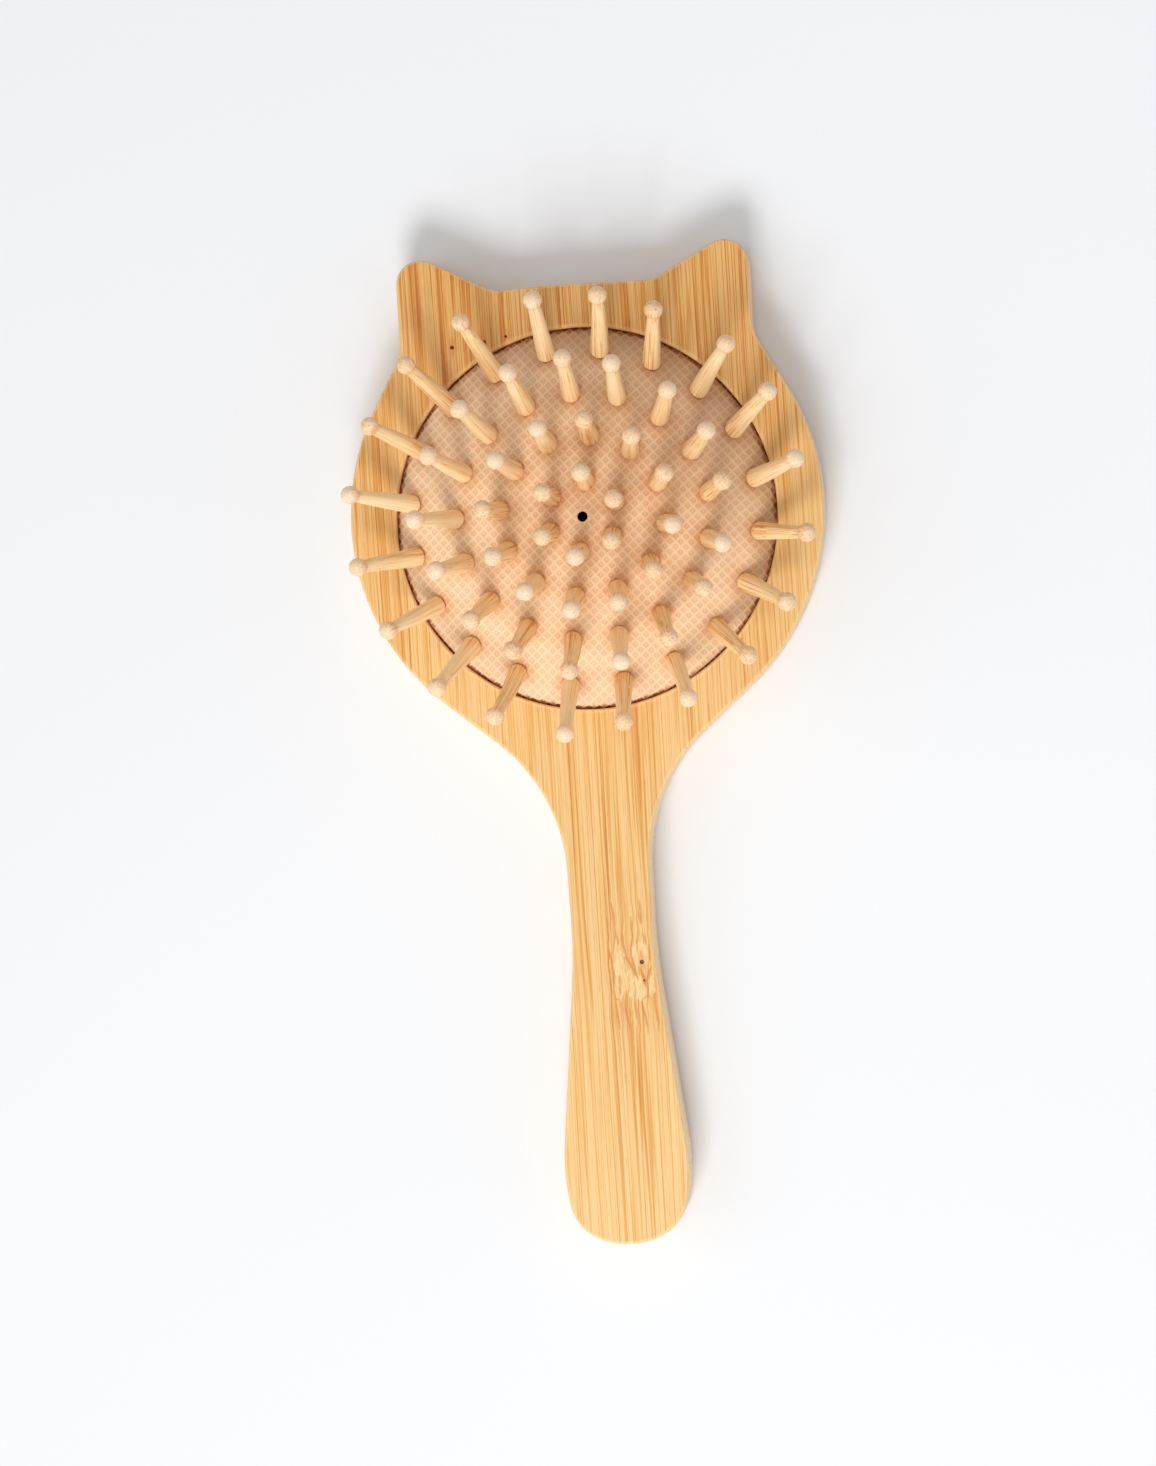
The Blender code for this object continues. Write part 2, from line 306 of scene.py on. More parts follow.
class Shader:
    """Builds one node material with short calls."""

    def __init__(self, name):
        self.material = bpy.data.materials.new(name)
        self.material.use_nodes = True
        self.tree = self.material.node_tree
        self.surface = self.tree.nodes["Principled BSDF"]

    def put(self, socket, value):
        if isinstance(value, Value):
            self.tree.links.new(value.socket, socket)
        else:
            socket.default_value = value

    def node(self, kind, values, output=0, **settings):
        """A new node with its settings and input values. Returns one output."""
        made = self.tree.nodes.new("ShaderNode" + kind)
        for key, value in settings.items():
            setattr(made, key, value)
        for slot, value in values:
            self.put(made.inputs[slot], value)
        return Value(self, made.outputs[output])

    def math(self, operation, *values, clamp=False):
        return self.node("Math", enumerate(values), operation=operation, use_clamp=clamp)

    def length(self, x, y):
        squares = self.math("POWER", x, 2.0) + self.math("POWER", y, 2.0)
        return self.math("SQRT", squares)

    def add_up(self, *terms):
        """The sum of value times weight, kept between 0 and 1."""
        total = 0.0
        for value, weight in terms:
            total = self.math("ADD", total, self.math("MULTIPLY", value, weight))
        return self.math("ADD", total, 0.0, clamp=True)

    def scaled(self, vector, *scale):
        return self.node("VectorMath", ((0, vector), (1, scale)), operation="MULTIPLY")

    def moved(self, vector, *offset):
        return self.node("VectorMath", ((0, vector), (1, offset)), operation="ADD")

    def parts(self, vector):
        split = self.node("SeparateXYZ", ((0, vector),))
        return [split.other(axis) for axis in range(3)]

    def place(self):
        return self.node("TexCoord", (), "Object")

    def place_in_mm(self):
        return self.scaled(self.place(), 1.0 / MM, 1.0 / MM, 1.0 / MM)

    def attribute(self, name, output="Fac"):
        return self.node("Attribute", (), output, attribute_name=name)

    def noise(self, vector, x, y, z, detail, roughness=0.5):
        """Noise of the vector, which is first multiplied by x, y and z."""
        return self.node("TexNoise", (("Vector", self.scaled(vector, x, y, z)), ("Scale", 1.0),
                                      ("Detail", detail), ("Roughness", roughness)), "Fac")

    def ramp(self, value, low, high, out_low=0.0, out_high=1.0):
        """The value's way from low to high, smoothed, as a way from out_low to out_high."""
        values = enumerate((value, low, high, out_low, out_high))
        return self.node("MapRange", values, interpolation_type="SMOOTHSTEP")

    def lines(self, grain, across, along, depth, width):
        """Thin dark lines where a stretched noise crosses its middle value."""
        value = self.noise(grain, across, along, depth, 1.0)
        return self.ramp(self.math("ABSOLUTE", value - 0.5), width, 0.0)

    def tones(self, value, rows):
        """A colour ramp through rows of (position, display colour)."""
        made = self.node("ValToRGB", ((0, value),))
        stops = made.socket.node.color_ramp.elements
        for stop, (position, colour) in zip(stops, (rows[0], rows[-1])):
            stop.position = position
            stop.color = rgb(*colour)
        for position, colour in rows[1:-1]:
            stops.new(position).color = rgb(*colour)
        return made

    def mix(self, factor, first, second):
        return self.node("Mix", ((0, factor), (6, first), (7, second)), 2, data_type="RGBA")

    def tinted(self, factor, colour, scale):
        """The colour mixed with itself, where the factor is, times a scale for each channel."""
        return self.mix(factor, colour, self.scaled(colour, *scale))

    def finish(self, colour, roughness, height, bump_distance, bump_strength):
        bump = self.node("Bump", (("Height", height), ("Strength", bump_strength),
                                  ("Distance", bump_distance)))
        for slot, value in (("Base Color", colour), ("Roughness", roughness), ("Normal", bump)):
            self.put(self.surface.inputs[slot], value)
        return self.material


# ---- materials

def near_joint(shader, x, y):
    """1 at the joint of the bamboo in the handle, and 0 away from it and left of it."""
    near = shader.ramp(shader.math("ABSOLUTE", y - JOINT_MIDDLE), 4.0, 24.0, 1.0, 0.0)
    return near * shader.ramp(x, -3.5, 0.5)


def board_grain(shader, place, joint, side):
    """The place that the grain is drawn in. It bends a little beside the joint, and round the
    sides of the board its layers run on along the outline."""
    x, y, z = shader.parts(place)
    sway = shader.noise(place, 0.1, 0.02, 0.1, 1.0)
    wobble = shader.noise(place, 0.5, 0.16, 0.5, 2.0, 0.6)
    bend = (wobble - 0.5) * (joint * JOINT_BEND) + (sway - 0.5) * GRAIN_SWAY
    layered = 1.0 - side * SIDE_LAYERS
    return shader.node("CombineXYZ", enumerate(((x + bend) * layered, y, z)))


def joint_colours(shader, colour, place, grain, joint):
    """Pale flakes at the joint, with brown strokes round and between them."""
    flake = shader.attribute("joint_flake")
    flake_grain = shader.noise(place, 3.4, 0.55, 3.4, 2.0, 0.6)
    flake_colour = shader.mix(shader.ramp(flake_grain, 0.34, 0.72), PALE_FLAKE, BROWN_FLAKE)
    colour = shader.mix(flake * 0.85, colour, flake_colour)
    streaks = shader.lines(shader.moved(grain, 11.0, 2.0, 4.0), 0.85, 0.02, 0.8, 0.045)
    beside = joint * (1.0 - flake)
    colour = shader.mix(streaks * (beside * 0.55), colour, JOINT_STREAK)
    stroke = shader.attribute("joint_stroke") * shader.ramp(flake_grain, 0.22, 0.52, 0.55, 1.0)
    return shader.mix(stroke, colour, JOINT_STROKE)


def pit_colours(shader, colour, x, y, fine):
    """Stained wood round each pit, and painted shade in its hollow."""
    for pit_x, pit_y, radius, _ in PITS:
        across = (x - pit_x) / radius
        along = (y - pit_y) / radius
        reach = shader.length(across, along)
        halo = shader.length(across, along / PIT_STAIN_LENGTH) + (fine - 0.5) * 3.0
        colour = shader.mix(shader.ramp(halo, 2.4, 0.8) * 0.45, colour, PIT_STAIN)
        # Painted shade in the pit's hollow
        colour = shader.mix(shader.ramp(reach, 1.15, 0.75) * 0.9, colour, PIT_HOLLOW_SHADE)
    return colour


def bamboo_board_material():
    shader = Shader("bamboo_board")
    place = shader.place_in_mm()
    x, y, _ = shader.parts(place)
    side = shader.attribute("side")
    joint = near_joint(shader, x, y)
    grain = board_grain(shader, place, joint, side)

    fade = shader.noise(grain, 0.7, 0.016, 0.6, 1.0)
    strong = shader.lines(grain, 0.64, 0.0028, 0.4, 0.038)
    strong *= shader.ramp(fade, 0.3, 0.62, 0.35, 1.0)
    second = shader.lines(shader.moved(grain, 31.0, 7.0, 5.0), 1.15, 0.005, 0.7, 0.044)
    second *= shader.ramp(fade, 0.66, 0.34, 0.25, 1.0)
    hairs = shader.lines(shader.moved(grain, 67.0, 3.0, 9.0), 2.4, 0.014, 1.8, 0.085)
    broad = shader.noise(grain, 0.13, 0.003, 0.1, 1.0)
    bands = shader.noise(grain, 0.55, 0.006, 0.45, 2.0)
    fine = shader.noise(grain, 3.6, 0.03, 3.0, 2.0, 0.6)
    dash = shader.noise(place, 6.0, 0.22, 6.0, 1.0)

    # Painted shade: the head is darker and browner than the handle, standing in for the light that
    # falls off towards the ears, and its grain lines are stronger.
    patch = shader.noise(grain, 0.06, 0.03, 0.05, 2.0)
    head_shade_and_grain = shader.ramp(y + patch * 24.0, 2.0, 57.0)

    tone = shader.add_up(
        (shader.ramp(broad, 0.3, 0.7), 0.12),
        (shader.ramp(bands, 0.32, 0.7), 0.12),
        (shader.ramp(fine, 0.3, 0.72), 0.26),
        (strong, 0.52),
        (second, 0.44),
        (hairs, 0.22),
        (head_shade_and_grain * second, 0.22),
        (head_shade_and_grain * hairs, 0.32),
    )
    # Painted shade: the head darkens towards the ears.
    colour = shader.tinted(head_shade_and_grain, shader.tones(tone, BOARD_TONES), HEAD_PAINTED_SHADE)
    colour = shader.mix(shader.ramp(dash, 0.66, 0.76) * 0.4, colour, DARK_FIBRE)
    colour = shader.mix(shader.ramp(dash, 0.34, 0.26) * 0.3, colour, PALE_FLECK)
    colour = joint_colours(shader, colour, place, grain, joint)
    colour = pit_colours(shader, colour, x, y, fine)

    # Painted light: the side walls are paler, standing in for the light that the floor throws onto
    # them. The rounded edges are paler too, as sanded wear and as a painted highlight.
    colour = shader.mix(side * 0.42, colour, SIDE_PAINTED_LIGHT)
    worn_and_lit = shader.attribute("worn_and_lit") * shader.ramp(fine, 0.25, 0.65, 0.15, 0.5)
    colour = shader.mix(worn_and_lit, colour, EDGE_WEAR_AND_HIGHLIGHT)

    roughness = shader.ramp(fine, 0.3, 0.7, 0.42, 0.56)
    height = shader.add_up((fine, 0.5), (strong, -0.35), (hairs, -0.15), (0.5, 1.0))
    return shader.finish(colour, roughness, height, 0.05 * MM, 0.6)


def bamboo_pin_material():
    shader = Shader("bamboo_pin")
    place = shader.attribute("fibre_space", "Vector")
    tint = shader.attribute("tint")
    top = shader.attribute("ball")
    broad = shader.noise(place, 0.7, 0.7, 0.04, 1.0)
    bands = shader.noise(place, 2.0, 2.0, 0.05, 2.0, 0.6)
    fine = shader.noise(place, 6.0, 6.0, 0.08, 1.0)
    fade = shader.noise(place, 1.1, 1.1, 0.07, 1.0)
    strong = shader.lines(place, 1.5, 1.5, 0.02, 0.05)
    strong *= shader.ramp(fade, 0.38, 0.6, 0.0, 1.0)
    thin = shader.lines(shader.moved(place, 9.0, 4.0, 2.0), 3.4, 3.4, 0.03, 0.08)
    mottle = shader.noise(place, 4.2, 4.2, 2.6, 2.0, 0.6)
    shank = 1.0 - top * 0.75
    tone = shader.add_up(
        (shader.ramp(bands, 0.36, 0.72), 0.4),
        (strong * shank, 0.42),
        (thin * shank, 0.28),
        (fine - 0.5, 0.4),
        (broad - 0.45, 0.5),
        (tint - 0.5, 0.3),
        ((mottle - 0.5) * top, 0.6),
        # Painted shade, along with browner wood: the shank darkens towards its base, where it
        # meets the cushion.
        (shader.ramp(shader.parts(place)[2], 6.0, 1.0), 0.1),
        (top, 0.08),
    )
    colour = shader.tinted(top, shader.tones(tone, PIN_TONES), BALL_PALE)

    # Ends of the fibre bundles: dots on the ball, dashes down the shank
    bundles = shader.node("TexVoronoi", (("Vector", shader.scaled(place, 2.4, 2.4, 0.07)),
                                         ("Scale", 1.0)), "Distance")
    picked = shader.ramp(shader.parts(bundles.other("Color"))[0], 0.3, 0.65)
    dots = shader.ramp(bundles, 0.4, 0.1) * picked * (top * 0.44 + 0.1)
    colour = shader.mix(dots, colour, BUNDLE_END)

    roughness = shader.ramp(bands, 0.3, 0.7, 0.44, 0.58)
    height = shader.add_up((bands, 0.4), (strong, -0.3), (dots, -0.6), (0.6, 1.0))
    return shader.finish(colour, roughness, height, 0.06 * MM, 0.6)


def rubber_material():
    shader = Shader("rubber")
    place = shader.place_in_mm()
    mottle = shader.ramp(shader.noise(place, 0.22, 0.22, 0.22, 3.0, 0.6), 0.32, 0.68)
    grit = shader.noise(place, 5.0, 5.0, 5.0, 2.0, 0.6)
    # Painted shade: the hollows between the weave's ridges are darker than the ridges.
    colour = shader.mix(shader.ramp(shader.attribute("ridge"), 0.0, 0.9),
                        shader.mix(mottle, *WEAVE_FLOOR_SHADED), shader.mix(mottle, *WEAVE_RIDGE))
    colour = shader.mix(shader.ramp(grit, 0.62, 0.78) * 0.25, colour, RUBBER_GRIT)

    # Painted shade: the rubber is darker towards +X and +Y, the side away from the key light, most
    # of all in a band along its edge. Round the pins it is darker too, with painted shade at their
    # bases and stretched rubber.
    x, y, _ = shader.parts(place)
    toward_shaded_side = x * 0.7 + y * 0.7
    colour = shader.tinted(shader.ramp(toward_shaded_side, 0.0, 34.0), colour, RUBBER_PAINTED_SHADE)
    edge = shader.ramp(shader.length(x, y), 32.5, 37.2) * shader.ramp(toward_shaded_side, -4.0, 22.0)
    colour = shader.tinted(edge, colour, RUBBER_EDGE_SHADE)
    # Painted shade round each pin's base, with stretched rubber darker there
    colour = shader.tinted(shader.attribute("pin_stain_and_shade"), colour, RUBBER_PIN_STAIN_AND_SHADE)
    # Painted shade in the gap round the rim
    colour = shader.mix(shader.attribute("rim") * 0.8, colour, RUBBER_GAP_SHADE)

    for slot, value in (("Subsurface Weight", 0.25), ("Subsurface Radius", (1.0, 0.42, 0.22)),
                        ("Subsurface Scale", 0.9 * MM)):
        shader.put(shader.surface.inputs[slot], value)
    roughness = shader.ramp(grit, 0.3, 0.7, 0.66, 0.8)
    return shader.finish(colour, roughness, grit, 0.02 * MM, 0.5)


def floor_material():
    shader = Shader("floor")
    place = shader.place()
    cloud = shader.noise(place, 3.0, 3.0, 3.0, 2.0)
    colour = shader.mix(cloud, (0.915, 0.925, 0.945, 1.0), (0.935, 0.942, 0.955, 1.0))
    # Painted shade: the floor's colour is a little darker where it is nearest to the lights, which
    # evens out their pool of light.
    x, y, _ = shader.parts(place)
    shade = shader.math("MAXIMUM", y * 0.36 + x * 0.26 + 0.98, 0.78)
    shade = shader.math("MINIMUM", shade, 1.04)
    floor_with_painted_shade = shader.node("VectorMath", ((0, colour), ("Scale", shade)), operation="SCALE")
    return shader.finish(floor_with_painted_shade, 0.9, cloud, 0.01 * MM, 0.1)


# ---- mesh helpers

def add_to_scene(name, data):
    made = bpy.data.objects.new(name, data)
    bpy.context.scene.collection.objects.link(made)
    return made


def new_piece(name, mesh, material):
    mesh.materials.clear()
    mesh.materials.append(material)
    return add_to_scene(name, mesh)


def smooth_mesh(mesh, crease):
    mesh.shade_smooth()
    mesh.set_sharp_from_angle(angle=math.radians(crease))


def store(mesh, name, values):
    """Keeps a number or a vector for each vertex, for the material to read."""
    values = np.asarray(values, np.float32)
    kind, field = ("FLOAT_VECTOR", "vector") if values.ndim == 2 else ("FLOAT", "value")
    layer = mesh.attributes.new(name, kind, "POINT")
    layer.data.foreach_set(field, values.ravel())


def finished_mesh(bm, name):
    """The mesh that bm holds. bm is freed."""
    mesh = bpy.data.meshes.new(name)
    bm.to_mesh(mesh)
    bm.free()
    return mesh


def clamp(values):
    """The values, kept between 0 and 1."""
    return np.clip(values, 0.0, 1.0)


def wander(x, y, z):
    """Noise between about -1 and 1."""
    return noise.noise(Vector((x, y, z)))


def ring(bm, points):
    """New vertices at points that are given in millimetres."""
    return [bm.verts.new(Vector(point) * MM) for point in points]


def loop_edges(bm, verts):
    """The closed loop of edges through the vertices, made where it is missing."""
    edges = []
    for index, vert in enumerate(verts):
        after = verts[(index + 1) % len(verts)]
        edges.append(bm.edges.get((vert, after)) or bm.edges.new((vert, after)))
    return edges


def bridge(bm, first, second):
    """Quads between two rings with the same count."""
    for index in range(len(first)):
        after = (index + 1) % len(first)
        bm.faces.new((first[index], first[after], second[after], second[index]))


# ---- board

def fillet(before, corner, after, radius):
    """Points of the arc that rounds a corner, from the side of `before` to that of `after`."""
    to_before = (before - corner).normalized()
    to_after = (after - corner).normalized()
    half_angle = to_before.angle(to_after) / 2.0
    reach = radius / math.tan(half_angle)
    centre = corner + (to_before + to_after).normalized() * (radius / math.sin(half_angle))
    spoke = corner + to_before * reach - centre
    turn = spoke.angle_signed(corner + to_after * reach - centre)
    steps = max(1, math.ceil(abs(turn) / OUTLINE_TURN))
    return [centre + Matrix.Rotation(-turn * step / steps, 2) @ spoke for step in range(steps + 1)]


def board_outline():
    """The whole outline, clockwise from the middle of the brow, evenly spaced."""
    corners = [Vector((x, y)) for x, y, _ in BOARD_CORNERS]
    right = [corners[0]]
    for index in range(1, len(corners) - 1):
        right += fillet(corners[index - 1], corners[index], corners[index + 1],
                        BOARD_CORNERS[index][2])
    right.append(corners[-1])
    whole = right + [Vector((-point.x, point.y)) for point in reversed(right[1:-1])]
    spaced = []
    for index, point in enumerate(whole):
        after = whole[(index + 1) % len(whole)]
        pieces = max(1, math.ceil((after - point).length / OUTLINE_STEP))
        spaced += [point.lerp(after, step / pieces) for step in range(pieces)]
    return spaced


def outward_normals(points):
    normals = []
    for index in range(len(points)):
        along = points[(index + 1) % len(points)] - points[index - 1]
        normals.append(Vector((-along.y, along.x)).normalized())
    return normals


def edge_section(radius):
    """Inset and height of the rings from the front face round both edges to the back face."""
    front = [(radius + EDGE_SUPPORT, THICKNESS)]
    for step in range(EDGE_SEGMENTS + 1):
        angle = math.pi / 2.0 * step / EDGE_SEGMENTS
        front.append((radius * (1.0 - math.sin(angle)),
                      THICKNESS - radius * (1.0 - math.cos(angle))))
    front.append((0.0, THICKNESS - radius - EDGE_SUPPORT))
    back = [(inset, THICKNESS - height) for inset, height in reversed(front)]
    return front + back


def half_width(points, y):
    """Half the width of the board at y, beside the handle."""
    right = sorted((point.y, point.x) for point in points if point.x > 0.0 and point.y < -60.0)
    return float(np.interp(y, [row[0] for row in right], [row[1] for row in right]))


def joint_values(x, y):
    """Stroke and flake strength of the joint at each point of two arrays."""
    ragged_x = np.array([wander(a * 1.1, b * 0.32, 5.1) for a, b in zip(x, y)])
    ragged_fine = np.array([wander(a * 3.4, b * 0.8, 1.7) for a, b in zip(x, y)])
    coarse_way, fine_way = JOINT_RAGGED
    place = np.column_stack([x + coarse_way * ragged_x + fine_way * ragged_fine, y])
    stroke = np.zeros(len(x))
    for half, strength, path in JOINT_STROKES:
        path = np.array(path)
        lengths = np.hypot(*np.diff(path, axis=0).T)
        before = np.concatenate([[0.0], np.cumsum(lengths)])
        for start, end, length, passed in zip(path, path[1:], lengths, before):
            along = clamp((place - start) @ (end - start) / length ** 2)
            away = np.hypot(*(place - start - along[:, None] * (end - start)).T)
            share = (passed + along * length) / before[-1]
            taper = 0.35 + 0.65 * clamp(4.0 * np.minimum(share, 1.0 - share))
            width = half * taper * (1.0 + 0.5 * ragged_fine)
            stroke = np.maximum(stroke, strength * np.exp(-(away / width) ** 2))
    flake = np.zeros(len(x))
    for flake_x, flake_y, wide, long in JOINT_FLAKES:
        away = (np.abs(place[:, 0] - flake_x) / wide) ** 1.6 + (np.abs(y - flake_y) / long) ** 2.4
        away += 0.45 * ragged_x + 0.25 * ragged_fine
        flake = np.maximum(flake, clamp((1.1 - away) / 0.3))
    return stroke, flake


def joint_grid(bm, points):
    """A fine grid over the joint. Returns its outer loop of edges, and each vertex's strength of
    stroke and flake."""
    rows = math.ceil((JOINT_HIGH - JOINT_LOW) / JOINT_STEP)
    heights = np.linspace(JOINT_LOW, JOINT_HIGH, rows + 1)
    columns = math.ceil((half_width(points, JOINT_LOW) - JOINT_LEFT) / JOINT_STEP)
    share = np.linspace(0.0, 1.0, columns + 1)
    x = []
    y = []
    for height in heights:
        right = half_width(points, height) - JOINT_MARGIN
        x += list(JOINT_LEFT + share * (right - JOINT_LEFT))
        y += [height] * (columns + 1)
    x = np.array(x)
    y = np.array(y)
    stroke, flake = joint_values(x, y)
    fade = np.minimum(np.minimum(y - JOINT_LOW, JOINT_HIGH - y) / 2.0, 1.0)
    shares = np.tile(share, rows + 1)
    fade = clamp(fade * clamp(shares / 0.12))
    stroke *= fade
    flake *= fade
    border = clamp((1.0 - shares) / 0.04)
    drop = JOINT_DEPTH * (stroke - 0.3 * flake) * border
    for pit_x, pit_y, radius, depth in PITS:
        reach = np.hypot(x - pit_x, y - pit_y) / radius
        drop += depth * clamp((1.15 - reach) / 0.55)
    verts = [bm.verts.new((a * MM, b * MM, (THICKNESS - down) * MM))
             for a, b, down in zip(x, y, drop)]
    table = np.arange(len(verts)).reshape(rows + 1, columns + 1)
    for row in range(rows):
        for column in range(columns):
            corners = (table[row, column], table[row, column + 1],
                       table[row + 1, column + 1], table[row + 1, column])
            bm.faces.new([verts[index] for index in corners])
    around = [*table[0], *table[1:, -1], *table[-1, -2::-1], *table[-2:0:-1, 0]]
    edges = loop_edges(bm, [verts[index] for index in around])
    return edges, dict(zip(verts, stroke)), dict(zip(verts, flake))


def make_sides(bm, points, worn_and_lit, side):
    """Rings of vertices from the front face round the edges and the side walls to the back."""
    normals = outward_normals(points)
    sections = []
    for point in points:
        sanding = wander(point.x * 0.1, point.y * 0.1, 3.7)
        sections.append(edge_section(EDGE_ROUND * (1.0 + EDGE_UNEVEN * sanding)))
    rings = []
    for level in range(len(sections[0])):
        places = []
        for point, normal, section in zip(points, normals, sections):
            inset, height = section[level]
            hand = HAND_SANDING * 0.5 * (noise.noise(Vector((point.x, point.y, 0.0)) * 0.08) - 0.5)
            flat = point - normal * (inset - hand)
            places.append((flat.x, flat.y, height))
        rings.append(ring(bm, places))
        on_side = EDGE_SEGMENTS + 1 <= level <= len(sections[0]) - EDGE_SEGMENTS - 2
        for vert in rings[-1]:
            # The rounding gets sanded wear and a painted highlight.
            worn_and_lit[vert] = 1.0 if 1 < level < EDGE_SEGMENTS + 1 else 0.0
            side[vert] = 1.0 if on_side else 0.0
    for upper, lower in zip(rings, rings[1:]):
        bridge(bm, upper, lower)
    return rings


def make_recess(bm, worn_and_lit):
    """The recess with its groove. Returns the ring of vertices on the front face."""
    # The third number marks the chamfer for sanded wear and a painted highlight.
    levels = [(RECESS_RADIUS + 1.0, THICKNESS, 0.0),
              (RECESS_RADIUS + RECESS_CHAMFER, THICKNESS, 1.0),
              (RECESS_RADIUS + 0.05, THICKNESS - RECESS_CHAMFER, 1.0),
              (RECESS_RADIUS, THICKNESS - RECESS_CHAMFER - 0.15, 0.0),
              (RECESS_RADIUS, GROOVE_TOP, 0.0),
              (GROOVE_RADIUS, GROOVE_TOP, 0.0),
              (GROOVE_RADIUS, GROOVE_BOTTOM, 0.0),
              (RECESS_RADIUS, GROOVE_BOTTOM, 0.0),
              (RECESS_RADIUS, RECESS_FLOOR, 0.0)]
    turned = []
    for level, (radius, height, wear_and_light) in enumerate(levels):
        places = []
        for step in range(RECESS_STEPS):
            angle = -math.tau * step / RECESS_STEPS
            x, y = math.cos(angle), math.sin(angle)
            chip = max(wander(x * 27.0, y * 27.0, 7.9) - CHIP_LIMIT, 0.0)
            ragged = RECESS_RAGGED * wander(x * 9.0, y * 9.0, 1.3) + RECESS_CHIPS * chip
            here = radius + (ragged if level == 1 else 0.0)
            places.append((x * here, y * here, height))
        turned.append(ring(bm, places))
        for vert in turned[-1]:
            worn_and_lit[vert] = wear_and_light
    for upper, lower in zip(turned, turned[1:]):
        bridge(bm, lower, upper)
    bm.faces.new(turned[-1])
    return turned[0]


def make_pit(bm, pit_x, pit_y, radius, depth):
    """A pit in the front face. Returns its rim."""
    rings = []
    for share, uneven, height in ((1.0, PIT_UNEVEN, THICKNESS),
                                  (PIT_BOTTOM, 0.0, THICKNESS - depth)):
        places = []
        for step in range(PIT_SIDES):
            angle = -math.tau * step / PIT_SIDES
            here = radius * share * (1.0 + uneven * wander(angle * 2.0, pit_x, pit_y))
            places.append((pit_x + math.cos(angle) * here, pit_y + math.sin(angle) * here, height))
        rings.append(ring(bm, places))
    rim, deep = rings
    bridge(bm, deep, rim)
    bm.faces.new(deep)
    return rim


def make_board(material):
    bm = bmesh.new()
    worn_and_lit = {}
    side = {}
    points = board_outline()
    rings = make_sides(bm, points, worn_and_lit, side)
    recess = make_recess(bm, worn_and_lit)
    # The joint's grid has the pits of the handle in it.
    holes, strokes, flakes = joint_grid(bm, points)
    holes += loop_edges(bm, recess)
    for pit_x, pit_y, radius, depth in PITS:
        if pit_y > 0.0:
            holes += loop_edges(bm, make_pit(bm, pit_x, pit_y, radius, depth))

    front = loop_edges(bm, rings[0]) + holes
    for face_loop, up in ((front, 1.0), (loop_edges(bm, rings[-1]), -1.0)):
        bmesh.ops.triangle_fill(bm, use_beauty=True, use_dissolve=False, edges=face_loop,
                                normal=(0.0, 0.0, up))
    bmesh.ops.recalc_face_normals(bm, faces=bm.faces)
    bm.verts.index_update()
    # The sides get painted light, and the edges get sanded wear with a painted highlight.
    looks = (("worn_and_lit", worn_and_lit), ("side", side), ("joint_stroke", strokes), ("joint_flake", flakes))
    values = {name: [found.get(vert, 0.0) for vert in bm.verts] for name, found in looks}
    mesh = finished_mesh(bm, "bamboo_board")
    smooth_mesh(mesh, 40.0)
    for name, numbers in values.items():
        store(mesh, name, numbers)
    return new_piece("bamboo_board", mesh, material)


# ---- pins

def pin_frames():
    """Name and frame of each pin: its origin is the middle of the rubber and Z runs to the tip."""
    frames = []
    for joint in frame["joints"]:
        label = joint["child"]
        pivot = Vector(joint["pos_m"])
        tip = max((vert.co for vert in frame["nodes"]["pin_" + label].data.vertices),
                  key=lambda place: (place - pivot).length)
        direction = (tip - pivot).normalized()
        axis = Vector(joint["axis"])
        axis = (axis - direction * axis.dot(direction)).normalized()
        placed = Matrix((axis.cross(direction), axis, direction)).transposed().to_4x4()
        placed.translation = pivot
        frames.append((label, placed))
    return frames


def pin_section(ball, neck, base, squat):
    """Radius and height of one pin, from its tip to its foot, in millimetres.

    The heights of the base are as if the cushion were flat there.
    """
    section = []
    throat = math.pi - math.asin((neck + 0.1) / ball)
    for step in range(1, BALL_STEPS + 1):
        angle = throat * step / BALL_STEPS
        section.append((ball * math.sin(angle), BALL_HEIGHT + ball * squat * math.cos(angle)))
    low = section[-1][1]
    section += [(neck + 0.03, low - 0.12), (neck, low - 0.35)]
    top = low - 0.35
    base_height = HALF_RUBBER + BASE_GAP
    bottom = base_height + BASE_ROUND
    for step in range(1, SHANK_STEPS + 1):
        share = step / SHANK_STEPS
        section.append((neck + (base - neck) * share ** SHANK_CURVE, top + (bottom - top) * share))
    for step in range(1, BASE_STEPS + 1):
        angle = math.pi / 2.0 * step / BASE_STEPS
        section.append((base - BASE_ROUND * (1.0 - math.cos(angle)),
                        bottom - BASE_ROUND * math.sin(angle)))
    section += [(PIN_WAIST + 0.04, base_height - 0.05), (PIN_WAIST, base_height - 0.2),
                (PIN_WAIST, FOOT_TOP + 0.1), (PIN_WAIST + 0.1, FOOT_TOP),
                (FOOT_RADIUS - 0.15, FOOT_TOP), (FOOT_RADIUS, FOOT_TOP - 0.15),
                (FOOT_RADIUS, FOOT_BOTTOM + 0.2), (FOOT_RADIUS - 0.2, FOOT_BOTTOM)]
    return section


def surface_shift(placed, x, y):
    """How far the cushion's face lies above or below where it would be if it were flat, along
    the line that runs parallel to the pin at x and y in its frame."""
    low, high = -2.0, 4.0
    for _ in range(16):
        middle = (low + high) / 2.0
        place = (placed @ Vector((x * MM, y * MM, middle * MM))) / MM
        if place.z > dome_height(math.hypot(place.x, place.y)):
            high = middle
        else:
            low = middle
    return (low + high) / 2.0 - HALF_RUBBER


def fibre_space(local, turn, seed, low, high, widening):
    """The place that a pin's grain is drawn in, turned and moved so that no two pins match. The
    fibres follow the taper, so that the grain runs on along the shank."""
    fibre = local @ np.array(Matrix.Rotation(-turn, 3, "Z"))
    taper = clamp((local[:, 2] - low) / (high - low))
    fibre[:, :2] *= (1.0 + (widening - 1.0) * 0.8 * taper)[:, None]
    fibre[:, :2] += (seed * 7.0, seed * 3.0)
    return fibre


